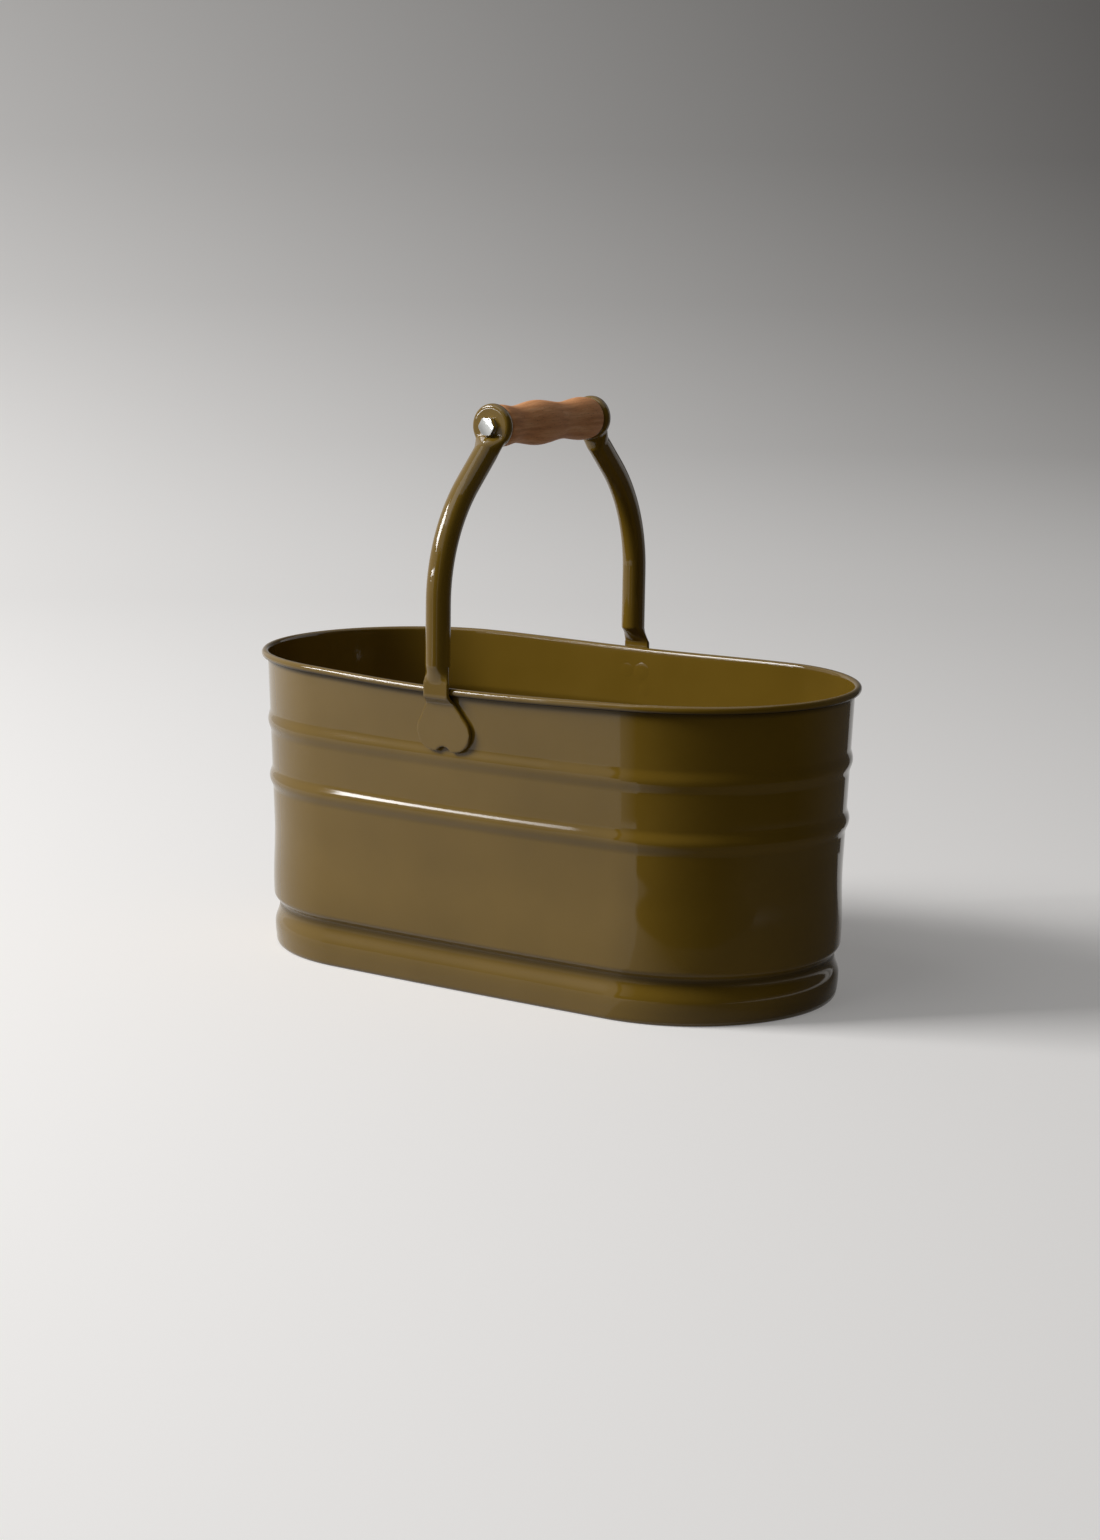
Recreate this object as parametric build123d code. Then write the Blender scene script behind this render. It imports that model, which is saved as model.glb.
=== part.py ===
from build123d import *
import math
import os

# Trug garden basket: an oval tub of painted sheet steel with a rolled, wired rim, two pressed
# ribs, a drawn-in groove above its foot and a pressed-in base. Two flattened steel tube arms
# are welded to the long sides and carry a turned beech grip on a long hexagon bolt.
#
# Lengths are in millimetres. The origin is on the floor at the tub's middle, +Z is up,
# +X runs along the tub and +Y goes from the bolt's head to its nut.

# Tub, outside sizes. The tapers are how far the foot stands in from the rim at ends and sides
rim_length = 400.0
rim_width = 215.0
rim_side_bow = 6.2
end_taper = 10.7
side_taper = 16.5
foot_side_bow = 0.8
tub_height = 188.0
sheet = 0.8

# Rolled rim and the wire inside it
wire_diameter = 2.8
wire_clearance = 0.1
curl_gap = 0.4

# Ribs and groove pressed into the wall, the rounded skirt below them and the slack swell of
# the wall's lower part: middle height, half heights and depth. The groove and the skirt have
# a short side and a long one
upper_rib_height = 143.3
upper_rib_half = 7.5
upper_rib_out = 1.5
lower_rib_height = 107.3
lower_rib_half = 7.5
lower_rib_out = 1.7
groove_height = 26.0
groove_upper_half = 6.5
groove_lower_half = 13.0
groove_in = 3.1
skirt_height = 8.0
skirt_upper_half = 16.0
skirt_lower_half = 8.0
skirt_out = 1.4
swell_height = 36.0
swell_half = 44.0
swell_out = 2.0
hem_width = 5.0
press_steps = 4

# Base panel
base_clearance = 0.2
base_drop = 8.3
base_corner = 2.0
base_crown = 0.3
pan_margin = 18.0
pan_slope = 5.0
pan_depth = 2.0

# Handle: its places along the tub, a little off the middle, at head, rim and lug, and its
# arms. Rises go up from the rim: to the crimp's foot, to its top and on to the eye's middle
handle_place = -9.8
neck_place = -8.4
lug_place = -6.4
crimp_foot_rise = 0.5
crimp_rise = 9.5
arm_rise = 136.6
arm_diameter = 14.8
arm_wall = 1.3
arm_stand_out = 0.6
arm_bend_radius = 95.0
arm_bend_angle = 45.6
arm_lean_run = 24.0
rim_clearance = 0.3

# Welded lug at the foot of each arm. Drops go down from the rim
lug_neck_width = 17.8
lug_width = 38.2
lug_lobe_radius = 11.5
lug_foot_drop = 40.6
lug_flare_drop = 10.0
lug_notch_radius = 6.0
lug_notch_depth = 2.8
lug_jog_top_drop = 7.0
lug_jog_foot_drop = 11.0
lug_bend_radius = 2.0
lug_top_clearance = 0.15
lug_foot_clearance = 0.95

# Flattened eye at the head of each arm, and the pressed neck between it and the tube
eye_radius = 13.5
eye_thickness = 6.4
eye_edge_radius = 2.6
eye_neck_width = 24.0
eye_neck_thickness = 5.6
eye_neck_drop = 5.0
eye_neck_rise = 15.4
eye_neck_in = 7.4
eye_hole_clearance = 0.3

# Turned grip. The shares place its belly, valleys and bulges along half its length
grip_end_gap = 0.4
grip_belly_radius = 13.5
grip_belly_share = -0.183
grip_valley_radius = 11.2
grip_front_valley_share = -0.713
grip_back_valley_share = 0.417
grip_front_bulge_radius = 12.5
grip_front_bulge_share = -0.937
grip_back_bulge_radius = 13.1
grip_back_bulge_share = 0.855
grip_tip_radius = 12.3
grip_tip_round = 2.0
grip_bore_clearance = 0.08

# Bolt and lock nut, M6
bolt_diameter = 6.0
bolt_over_nut = 1.8
bolt_tip_chamfer = 0.7
hex_across_flats = 10.0
hex_corner_cut = 0.45
head_height = 4.0
nut_height = 4.8
nut_thread_clearance = 0.03
collar_height = 1.9
collar_radius = 4.6
collar_lip = 0.5
lock_ring_radius = 3.9
lock_ring_clearance = 0.05

# Values that follow from the sizes above
overrun = sheet
foot_length = rim_length - 2 * end_taper
foot_width = rim_width - 2 * side_taper
bead_radius = wire_diameter / 2 + wire_clearance + sheet
bead_height = tub_height - bead_radius
bead_half_length = rim_length / 2 - bead_radius
bead_half_width = rim_width / 2 - bead_radius
wall_set_in = bead_radius - sheet
wall_top_half_length = bead_half_length - wall_set_in
wall_top_half_width = bead_half_width - wall_set_in
base_top_height = groove_height - base_drop
crimp_foot_height = tub_height + crimp_foot_rise
crimp_top_height = crimp_foot_height + crimp_rise
eye_height = crimp_top_height + arm_rise
lug_foot_height = tub_height - lug_foot_drop
lug_flare_height = tub_height - lug_flare_drop
lug_jog_top = tub_height - lug_jog_top_drop
lug_jog_foot = tub_height - lug_jog_foot_drop
presses = [
    (upper_rib_height, upper_rib_half, upper_rib_half, upper_rib_out),
    (lower_rib_height, lower_rib_half, lower_rib_half, lower_rib_out),
    (groove_height, groove_upper_half, groove_lower_half, -groove_in),
    (skirt_height, skirt_upper_half, skirt_lower_half, skirt_out),
    (swell_height, swell_half, swell_half, swell_out),
]
arm_middle = bead_half_width + arm_stand_out
arm_lean = math.radians(arm_bend_angle)
arm_bend_in = arm_bend_radius * (1 - math.cos(arm_lean))
arm_lean_in = arm_lean_run * math.sin(arm_lean)
eye_middle = arm_middle - arm_bend_in - arm_lean_in - eye_neck_in
eye_outer_face = eye_middle + eye_thickness / 2
grip_length = 2 * (eye_middle - eye_thickness / 2 - grip_end_gap)
lug_thickness = 2 * arm_wall
bolt_radius = bolt_diameter / 2


def oval_wire(half_length, half_width, side_bow, height):
    """A level oval of two end arcs and two slack side arcs that meet them smoothly."""
    end_radius = half_width - side_bow
    end_centre = half_length - end_radius
    side_drop = (end_centre**2 - side_bow**2) / (2 * side_bow)
    reach = math.hypot(end_centre, side_drop)
    meet_x = end_centre + end_radius * end_centre / reach
    meet_y = end_radius * side_drop / reach
    corners = [(meet_x, -meet_y), (meet_x, meet_y), (-meet_x, meet_y), (-meet_x, -meet_y)]
    middles = [(half_length, 0), (0, half_width), (-half_length, 0), (0, -half_width)]
    arcs = []
    for index, middle in enumerate(middles):
        start = corners[index]
        end = corners[(index + 1) % len(corners)]
        arcs.append(ThreePointArc((*start, height), (*middle, height), (*end, height)))
    return Wire(arcs)


def press_offset(height):
    """How far the ribs, the groove, the swell and the skirt move the wall out at a height."""
    offset = 0.0
    for middle, upper_half, lower_half, out in presses:
        share = (height - middle) / (upper_half if height > middle else lower_half)
        if middle == skirt_height and height < middle:
            offset += out * (1 - min(-share, 1.0) ** 4)
        elif abs(share) < 1:
            offset += out * math.cos(share * math.pi / 2) ** 2
    return offset


def wall_half_sizes(height, inset):
    """Half length, half width and side bow of the wall's outside at a height, less an inset."""
    share = height / bead_height
    half_length = foot_length / 2 + (wall_top_half_length - foot_length / 2) * share
    half_width = foot_width / 2 + (wall_top_half_width - foot_width / 2) * share
    side_bow = foot_side_bow + (rim_side_bow - foot_side_bow) * share
    out = press_offset(height) - inset
    return half_length + out, half_width + out, side_bow


def wall_wire(height, inset, at_height=None):
    """The wall's oval at a height, drawn there or at another height."""
    half_length, half_width, side_bow = wall_half_sizes(height, inset)
    return oval_wire(half_length, half_width, side_bow, height if at_height is None else at_height)


def wall_heights():
    """Heights at which the wall's section changes, from the floor to the bead's middle."""
    heights = [0.0, bead_height]
    for middle, upper_half, lower_half, _ in presses:
        for step in range(-press_steps, press_steps + 1):
            height = middle + (upper_half if step > 0 else lower_half) * step / press_steps
            if height > sheet and all(abs(height - other) > sheet for other in heights):
                heights.append(height)
    return sorted(heights)


def lofted(wires):
    """A straight-sided solid through level ovals."""
    return Solid.make_loft(wires, ruled=True)


def make_wall_shell():
    """The pressed wall, open above and below."""
    heights = wall_heights()
    outside = lofted([wall_wire(height, 0) for height in heights])
    inner_wires = [wall_wire(height, sheet) for height in heights]
    inner_wires.insert(0, wall_wire(heights[0], sheet, heights[0] - overrun))
    inner_wires.append(wall_wire(heights[-1], sheet, heights[-1] + overrun))
    return outside - lofted(inner_wires)


def make_hem():
    """The flat turn-in at the foot, on which the tub stands."""
    outer = Face(wall_wire(0, sheet / 2))
    inner = Face(wall_wire(0, sheet + hem_width))
    return extrude(outer - inner, sheet, dir=(0, 0, 1))


def make_rim_curl():
    """The rim rolled outwards round its wire, open only where it nears the wall again."""
    path = oval_wire(bead_half_length, bead_half_width, rim_side_bow, bead_height)
    plane = Plane(origin=(0, bead_half_width, bead_height), x_dir=(0, 1, 0), z_dir=(-1, 0, 0))
    ring = Circle(bead_radius) - Circle(bead_radius - sheet)
    below = Pos(-bead_radius + curl_gap / 2, -bead_radius) * Rectangle(
        2 * (sheet + curl_gap / 2), 2 * bead_radius
    )
    return sweep(plane * (ring - below), path=path)


def make_tub_wall():
    """Wall, hem and rolled rim: one sheet of steel."""
    return make_wall_shell() + make_hem() + make_rim_curl()


def make_rim_wire():
    """The stiffening wire inside the rolled rim."""
    path = oval_wire(bead_half_length, bead_half_width, rim_side_bow, bead_height)
    plane = Plane(origin=(0, bead_half_width, bead_height), x_dir=(0, 1, 0), z_dir=(-1, 0, 0))
    return sweep(plane * Circle(wire_diameter / 2), path=path)


def base_levels(skin):
    """Wires of the base panel's upper side, or of its lower side when skin is the sheet."""
    edge = sheet + base_clearance + skin
    top = base_top_height - skin
    shoulder = top - base_corner
    foot = sheet - overrun if skin else sheet
    pan_edge = edge + pan_margin
    return [
        wall_wire(sheet, edge, foot),
        wall_wire(shoulder, edge),
        wall_wire(shoulder, edge + base_corner, top),
        wall_wire(shoulder, pan_edge, top + base_crown),
        wall_wire(shoulder, pan_edge + pan_slope, top + base_crown - pan_depth),
    ]


def make_base_panel():
    """Base with a turned-down flange that stands on the hem, and a shallow pressed pan."""
    return lofted(base_levels(0)) - lofted(base_levels(sheet))


def arm_path():
    """Middle line of the front arm's tube, from its crimp up to the eye's neck."""
    half = arm_lean / 2
    tube_top_height = eye_height - eye_neck_rise
    bend_end_height = tube_top_height - arm_lean_run * math.cos(arm_lean)
    bend_height = bend_end_height - arm_bend_radius * math.sin(arm_lean)
    foot = (handle_place, -arm_middle, crimp_top_height)
    bend_start = (handle_place, -arm_middle, bend_height)
    bend_middle = (
        handle_place,
        -arm_middle + arm_bend_radius * (1 - math.cos(half)),
        bend_height + arm_bend_radius * math.sin(half),
    )
    bend_end = (handle_place, -arm_middle + arm_bend_in, bend_end_height)
    head = (handle_place, -arm_middle + arm_bend_in + arm_lean_in, tube_top_height)
    lines = [Line(foot, bend_start), ThreePointArc(bend_start, bend_middle, bend_end), Line(bend_end, head)]
    return Wire(lines)


def make_crimp():
    """Where the tube's foot is pressed flat, just above the rim."""
    tube_plane = Plane(origin=(handle_place, -arm_middle, crimp_top_height), z_dir=(0, 0, 1))
    flat_middle = rim_width / 2 + rim_clearance + lug_thickness / 2
    flat_plane = Plane(origin=(neck_place, -flat_middle, crimp_foot_height), z_dir=(0, 0, 1))
    flat = flat_plane * SlotOverall(lug_neck_width, lug_thickness)
    return loft([flat, tube_plane * Circle(arm_diameter / 2)])


def lug_profile():
    """Side view of the lug: over the rim, in to the wall and down along it."""
    rim_face = rim_width / 2 + rim_clearance
    upper_face = wall_half_sizes(lug_jog_foot, -lug_top_clearance)[1]
    lower_face = foot_width / 2 + (wall_top_half_width - foot_width / 2) * lug_foot_height / bead_height
    lower_face += lug_foot_clearance
    inside = [
        (-rim_face, crimp_foot_height),
        (-rim_face, lug_jog_top),
        (-upper_face, lug_jog_foot),
        (-lower_face, lug_foot_height),
    ]
    outside = [
        (-lower_face - lug_thickness, lug_foot_height),
        (-upper_face - lug_thickness, lug_jog_foot - lug_thickness / 2),
        (-rim_face - lug_thickness, lug_jog_top - lug_thickness / 2),
        (-rim_face - lug_thickness, crimp_foot_height),
    ]
    inner_line = FilletPolyline(*inside, radius=lug_bend_radius)
    outer_line = FilletPolyline(*outside, radius=lug_bend_radius)
    bottom = Line(inside[-1], outside[0])
    top = Line(outside[-1], inside[0])
    return make_face([inner_line, bottom, outer_line, top])


def lug_outline():
    """Front view of the lug: a narrow neck that flares into two round lobes."""
    lobe_side = lug_width / 2 - lug_lobe_radius
    lobe_height = lug_foot_height + lug_lobe_radius
    neck_left = neck_place - lug_neck_width / 2
    neck_right = neck_place + lug_neck_width / 2
    left = Pos(lug_place - lobe_side, lobe_height) * Circle(lug_lobe_radius)
    right = Pos(lug_place + lobe_side, lobe_height) * Circle(lug_lobe_radius)
    neck_line = Line((neck_left, lug_flare_height), (neck_right, lug_flare_height))
    heart = make_hull([*left.edges(), *right.edges(), neck_line])
    neck_tall = crimp_foot_height - lug_flare_height
    neck = Pos(neck_place, lug_flare_height + neck_tall / 2) * Rectangle(lug_neck_width, neck_tall)
    notch_height = lug_foot_height + lug_notch_depth - lug_notch_radius
    return heart + neck - Pos(lug_place, notch_height) * Circle(lug_notch_radius)


def make_lug():
    """The flattened end of the tube, welded to the wall over the rim."""
    side_plane = Plane(origin=(0, 0, 0), x_dir=(0, 1, 0), z_dir=(1, 0, 0))
    side = extrude(side_plane * lug_profile(), rim_width, both=True)
    front_plane = Plane(origin=(0, 0, 0), x_dir=(1, 0, 0), z_dir=(0, -1, 0))
    front = extrude(front_plane * lug_outline(), rim_width, dir=(0, -1, 0))
    return side & front


def make_eye():
    """The flattened round head of the tube, with softened edges."""
    disc = extrude(Plane.XZ * Circle(eye_radius), eye_thickness / 2, both=True)
    disc = fillet(disc.edges(), eye_edge_radius)
    return Pos(handle_place, -eye_middle, eye_height) * disc


def make_eye_neck(path):
    """Where the tube is pressed flat below the eye."""
    head = path @ 1
    tube_plane = Plane(origin=head, x_dir=(1, 0, 0), z_dir=path % 1)
    flat_plane = Plane(origin=(handle_place, -eye_middle, eye_height - eye_neck_drop), z_dir=(0, 0, 1))
    flat = flat_plane * Ellipse(eye_neck_width / 2, eye_neck_thickness / 2)
    return loft([tube_plane * Circle(arm_diameter / 2), flat])


def make_front_arm():
    """The front arm: a hollow tube, pressed flat into a lug below and an eye above."""
    path = arm_path()
    foot_plane = Plane(origin=path @ 0, z_dir=path % 0)
    tube = sweep(foot_plane * Circle(arm_diameter / 2), path=path)
    hollow = sweep(foot_plane * Circle(arm_diameter / 2 - arm_wall), path=path)
    arm = tube + make_crimp() + make_lug() + make_eye_neck(path) + make_eye()
    hole = Cylinder(bolt_radius + eye_hole_clearance, 2 * eye_thickness, rotation=(90, 0, 0))
    return arm - hollow - Pos(handle_place, -eye_middle, eye_height) * hole


def make_grip():
    """The turned grip: a belly, a shallow valley each side and rounded bulges at the ends."""
    half = grip_length / 2
    skin = Spline(
        (grip_tip_radius, half),
        (grip_back_bulge_radius, grip_back_bulge_share * half),
        (grip_valley_radius, grip_back_valley_share * half),
        (grip_belly_radius, grip_belly_share * half),
        (grip_valley_radius, grip_front_valley_share * half),
        (grip_front_bulge_radius, grip_front_bulge_share * half),
        (grip_tip_radius, -half),
    )
    bore = bolt_radius + grip_bore_clearance
    rest = Polyline((grip_tip_radius, -half), (bore, -half), (bore, half), (grip_tip_radius, half))
    body = revolve(make_face([skin, rest]), Axis.Y)
    tips = body.edges().filter_by(GeomType.CIRCLE).sort_by(SortBy.RADIUS)[-2:]
    return Pos(handle_place, 0, eye_height) * fillet(tips, grip_tip_round)


def hexagon_prism(height):
    """A hexagon standing on Z with a flat up, its corners cut back at the far end."""
    prism = extrude(RegularPolygon(hex_across_flats / 2, 6, major_radius=False), height)
    corner_radius = hex_across_flats / 2 / math.cos(math.pi / 6)
    blank = Pos(0, 0, height / 2) * Cylinder(corner_radius, height)
    return prism & chamfer(blank.edges().sort_by(Axis.Z)[-1], hex_corner_cut)


def make_grip_bolt():
    """Hexagon bolt through both eyes and the grip, with its head at the front."""
    head = Plane(origin=(handle_place, -eye_outer_face, eye_height), x_dir=(1, 0, 0), z_dir=(0, -1, 0))
    shank_length = 2 * eye_outer_face + nut_height + collar_height + bolt_over_nut
    shank = Pos(0, 0, -shank_length / 2) * Cylinder(bolt_radius, shank_length)
    shank = chamfer(shank.edges().sort_by(Axis.Z)[0], bolt_tip_chamfer)
    return head * (hexagon_prism(head_height) + shank)


def nut_plane():
    """The back eye's outer face, where the nut sits, looking out along the bolt."""
    return Plane(origin=(handle_place, eye_outer_face, eye_height), x_dir=(1, 0, 0), z_dir=(0, 1, 0))


def make_grip_nut():
    """Lock nut: a hexagon with a collar whose lip holds a plastic ring."""
    total = nut_height + collar_height
    collar = Pos(0, 0, total / 2) * Cylinder(collar_radius, total)
    bore = Pos(0, 0, total / 2) * Cylinder(bolt_radius + nut_thread_clearance, total + 2 * overrun)
    seat_tall = collar_height - collar_lip
    seat = Pos(0, 0, nut_height + seat_tall / 2) * Cylinder(lock_ring_radius + lock_ring_clearance, seat_tall)
    lip = Pos(0, 0, total) * Cylinder((bolt_radius + lock_ring_radius) / 2, 2 * collar_lip + 2 * overrun)
    return nut_plane() * (hexagon_prism(nut_height) + collar - bore - seat - lip)


def make_nut_lock_ring():
    """The plastic ring that grips the thread so that the nut needn't be tight on the grip."""
    tall = collar_height - collar_lip
    ring = Cylinder(lock_ring_radius, tall) - Cylinder(bolt_radius + nut_thread_clearance, tall)
    return nut_plane() * Pos(0, 0, nut_height + tall / 2) * ring


def main():
    """Build every piece and write one file for each."""
    front_arm = make_front_arm()
    pieces = {
        "tub_wall": make_tub_wall(),
        "rim_wire": make_rim_wire(),
        "base_panel": make_base_panel(),
        "front_arm": front_arm,
        "back_arm": mirror(front_arm, about=Plane.XZ),
        "grip": make_grip(),
        "grip_bolt": make_grip_bolt(),
        "grip_nut": make_grip_nut(),
        "nut_lock_ring": make_nut_lock_ring(),
    }
    os.makedirs("parts", exist_ok=True)
    for name, piece in pieces.items():
        export_step(piece, f"parts/{name}.step")


main()
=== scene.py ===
"""Looks of the trug garden basket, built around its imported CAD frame.

Everything is in metres in the CAD frame: the origin on the floor at the tub's middle, +Z up, +X
along the tub and +Y from the bolt's head to its nut. The sizes below repeat the CAD source's
where a piece stands for a CAD node.
"""

import logging
import math
from collections.abc import Sequence
from dataclasses import dataclass, field
from enum import Enum

import bmesh
import bpy
import numpy as np
from mathutils import Matrix, Vector


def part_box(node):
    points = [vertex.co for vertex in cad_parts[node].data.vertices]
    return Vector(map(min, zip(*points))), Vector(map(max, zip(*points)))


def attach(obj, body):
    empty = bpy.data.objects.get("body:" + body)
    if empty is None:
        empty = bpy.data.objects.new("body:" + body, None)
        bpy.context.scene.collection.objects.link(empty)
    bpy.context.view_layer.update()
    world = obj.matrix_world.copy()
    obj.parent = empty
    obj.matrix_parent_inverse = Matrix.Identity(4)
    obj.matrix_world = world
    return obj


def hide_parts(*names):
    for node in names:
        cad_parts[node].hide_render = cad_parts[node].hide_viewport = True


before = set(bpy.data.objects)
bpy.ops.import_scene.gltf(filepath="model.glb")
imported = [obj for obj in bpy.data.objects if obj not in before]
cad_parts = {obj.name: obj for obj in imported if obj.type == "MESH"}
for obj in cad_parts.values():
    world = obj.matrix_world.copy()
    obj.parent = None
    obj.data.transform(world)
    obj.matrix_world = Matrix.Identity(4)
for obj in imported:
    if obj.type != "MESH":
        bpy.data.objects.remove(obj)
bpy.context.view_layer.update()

log = logging.getLogger("trug")
MM = 0.001
MERGE_MM = 0.004  # Corners of the CAD's meshes that lie nearer than this are one.
FLAT_DEGREES = 0.5  # Their triangles that turn by less than this are one face.
GRIP_PLACE = -9.8  # The grip's axis runs along Y at this place on X and this height, in millimetres.
GRIP_HEIGHT = 334.6
BEVEL_STEPS = 3

Pairs = tuple[tuple[float, float], ...]
Press = tuple[float, float, float, float]
Triple = tuple[float, float, float]
Material, Mesh, Node = bpy.types.Material, bpy.types.Mesh, bpy.types.Node
Piece, Shell, Socket = bpy.types.Object, bmesh.types.BMesh, bpy.types.NodeSocket
Tree = bpy.types.NodeTree


class Body(Enum):
    """The CAD's two rigid groups."""

    TUB = "tub"
    GRIP = "grip"


class Slot(Enum):
    """The material slots."""

    PAINT = "paint"
    WIRE = "steel_wire"
    BEECH = "beech"
    ZINC = "zinc"
    NYLON = "nylon"


def linear(hex_colour: str) -> tuple[float, float, float, float]:
    """Turn an sRGB hex colour into Blender's linear colour.

    Args:
        hex_colour: Six hex digits after a hash.

    Returns:
        Red, green, blue and alpha, linear.
    """
    shares = [int(hex_colour[place : place + 2], 16) / 255 for place in (1, 3, 5)]
    # The curve of the sRGB standard.
    channels = [s / 12.92 if s <= 0.04045 else ((s + 0.055) / 1.055) ** 2.4 for s in shares]
    return (*channels, 1.0)


def add_node(tree: Tree, kind: str, inputs: dict | None = None, **settings: str) -> Node:
    """Add one node with its settings, values and links.

    Args:
        tree: The tree that takes the node.
        kind: The node's type name.
        inputs: Values or sockets by input name or number.
        settings: The node's own properties.

    Returns:
        The new node.
    """
    node = tree.nodes.new(kind)
    for key, value in settings.items():
        setattr(node, key, value)
    for key, value in (inputs or {}).items():
        if isinstance(value, Socket):
            tree.links.new(value, node.inputs[key])
        else:
            node.inputs[key].default_value = value
    return node


def shader_tree(name: str) -> tuple[Material, Tree, Socket]:
    """Start a material with nothing but Object coordinates.

    Args:
        name: The finish's name.

    Returns:
        The material, its node tree and the coordinates' socket.
    """
    material = bpy.data.materials.new(name)
    material.use_nodes = True
    tree = material.node_tree
    tree.nodes.clear()
    return material, tree, add_node(tree, "ShaderNodeTexCoord").outputs["Object"]


def surfaced(material: Material, kind: str, inputs: dict) -> Material:
    """Give a material its surface, the first output of one shader node.

    Args:
        material: The material.
        kind: The shader node's type name.
        inputs: The shader's values and sockets.

    Returns:
        The same material.
    """
    tree = material.node_tree
    add_node(tree, "ShaderNodeOutputMaterial", {"Surface": add_node(tree, kind, inputs).outputs[0]})
    return material


def noise(tree: Tree, place: Socket, size_mm: float, detail: float = 2.0, roughness: float = 0.5) -> Socket:
    """Add a noise whose grains have a real size. Its level is about 0.5 in the middle."""
    inputs = {"Vector": place, "Scale": 1 / (size_mm * MM), "Detail": detail, "Roughness": roughness}
    return add_node(tree, "ShaderNodeTexNoise", inputs).outputs["Fac"]


def spread(
    tree: Tree, value: Socket, low: float, high: float, start: float = 0.0, end: float = 1.0
) -> Socket:
    """Turn a value that runs from start to end into one that runs from low to high and stays there."""
    inputs = {"Value": value, "From Min": start, "From Max": end, "To Min": low, "To Max": high}
    return add_node(tree, "ShaderNodeMapRange", inputs).outputs["Result"]


def mixed(tree: Tree, share: Socket, first: Socket, second: Socket | tuple[float, ...]) -> Socket:
    """Mix two colours by the share of the second."""
    inputs = {"Factor": share, 6: first, 7: second}
    return add_node(tree, "ShaderNodeMix", inputs, data_type="RGBA").outputs[2]


def bumped(
    tree: Tree, height: Socket, strength: float, depth_mm: float, under: Socket | None = None
) -> Socket:
    """Bend a surface's normal by a height.

    Args:
        tree: The tree that takes the node.
        height: The height, from 0 to 1.
        strength: How much of the bend shows.
        depth_mm: What a height of 1 is in millimetres.
        under: A normal that is bent already.

    Returns:
        The bent normal.
    """
    inputs = {"Height": height, "Strength": strength, "Distance": depth_mm * MM}
    if under is not None:
        inputs["Normal"] = under
    return add_node(tree, "ShaderNodeBump", inputs).outputs["Normal"]


def ramp(tree: Tree, factor: Socket, places: Sequence[float], colours: Sequence[str]) -> Socket:
    """Colour a factor through hex colours.

    Args:
        tree: The tree that takes the ramp.
        factor: What runs from 0 to 1.
        places: Where on it each colour is reached.
        colours: The hex colours.

    Returns:
        The ramp's colour socket.
    """
    node = add_node(tree, "ShaderNodeValToRGB", {"Fac": factor})
    elements = node.color_ramp.elements
    while len(elements) < len(places):
        elements.new(0.5)
    for element, place, colour in zip(elements, places, colours):
        element.position = place
        element.color = linear(colour)
    return node.outputs["Color"]


def seen_ray(tree: Tree) -> Socket:
    """Tell rays that show a surface, straight or by gloss or glass, from rays that only light.

    Args:
        tree: The tree that takes the nodes.

    Returns:
        A socket that is 1 for camera, glossy and transmission rays.
    """
    ray = add_node(tree, "ShaderNodeLightPath").outputs
    seen = ray["Is Camera Ray"]
    for kind in ("Is Glossy Ray", "Is Transmission Ray"):
        either = add_node(tree, "ShaderNodeMath", {0: seen, 1: ray[kind]}, operation="MAXIMUM")
        seen = either.outputs["Value"]
    return seen


@dataclass(frozen=True)
class EnamelledSteel:
    """Olive-brown gloss enamel, dipped and stoved on pressed sheet steel.

    To the eye: a deep brown-olive body under a wet, slightly wavy gloss that mirrors the floor.
    Painted shade darkens the body and dulls its gloss under the rolled rim and in the groove, by a
    share that the wall's mesh carries.
    """

    body: str = "#70571A"
    light_body: str = "#775D1F"
    # Painted shade: the dark colour and the dull gloss laid in the creases under the rim and in the groove.
    painted_shade: str = "#1A1204"
    roughness: float = 0.07
    painted_shade_roughness: float = 0.45
    shine: float = 0.5
    painted_shade_shine: float = 0.06
    ior: float = 1.46
    cloud_mm: float = 70.0
    cloud_range: tuple[float, float] = (0.35, 0.65)
    sag_mm: float = 45.0
    sag_depth_mm: float = 0.3
    sag_strength: float = 0.5
    peel_mm: float = 1.6
    peel_depth_mm: float = 0.012
    peel_strength: float = 0.25

    def material(self) -> Material:
        """Build the enamel's node material.

        Returns:
            The finished material.
        """
        material, tree, place = shader_tree("gloss_enamel_on_sheet_steel")
        cloud = noise(tree, place, self.cloud_mm, detail=3.0)
        clear = ramp(tree, cloud, self.cloud_range, (self.body, self.light_body))
        # Painted shade: the share that darkens the paint and dulls its gloss under the rim and in the groove.
        painted_shade = add_node(tree, "ShaderNodeAttribute", attribute_name="painted_shade").outputs["Fac"]
        # The sheet's slackness bends what the gloss mirrors; orange peel breaks its edges a little.
        sag = noise(tree, place, self.sag_mm, detail=1.0)
        slack = bumped(tree, sag, self.sag_strength, self.sag_depth_mm)
        peel = noise(tree, place, self.peel_mm, detail=1.0)
        inputs = {
            "Base Color": mixed(tree, painted_shade, clear, linear(self.painted_shade)),
            "Roughness": spread(tree, painted_shade, self.roughness, self.painted_shade_roughness),
            "IOR": self.ior,
            "Specular IOR Level": spread(tree, painted_shade, self.shine, self.painted_shade_shine),
            "Normal": bumped(tree, peel, self.peel_strength, self.peel_depth_mm, slack),
        }
        return surfaced(material, "ShaderNodeBsdfPrincipled", inputs)


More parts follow.
